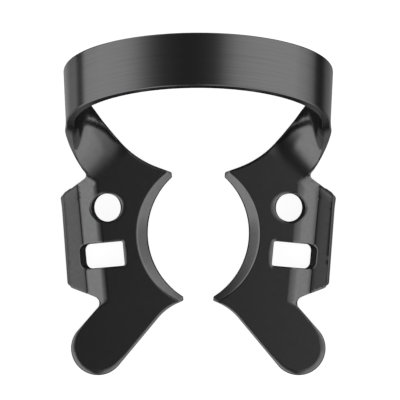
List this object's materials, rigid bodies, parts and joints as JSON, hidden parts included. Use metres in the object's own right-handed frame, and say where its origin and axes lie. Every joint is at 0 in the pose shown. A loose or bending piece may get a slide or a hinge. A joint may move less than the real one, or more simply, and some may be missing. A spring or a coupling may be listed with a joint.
{
  "type": "rubber dam clamp",
  "caption": "Winged dental clamp folded from one spring steel sheet: two jaws that grip a molar, joined by an arched bow.",
  "frame": {"origin": "middle of the tooth grip, on the underside of the jaws", "axes": "+Z away from the gum, +Y from the open ends of the jaws to the bow, X across the tooth"},
  "size_m": [0.0202, 0.0249, 0.0137],
  "materials": {
    "coated_steel": "dark satin coating on spring steel sheet"
  },
  "bodies": {
    "root": {"clamp": "coated_steel"}
  },
  "joints": []
}
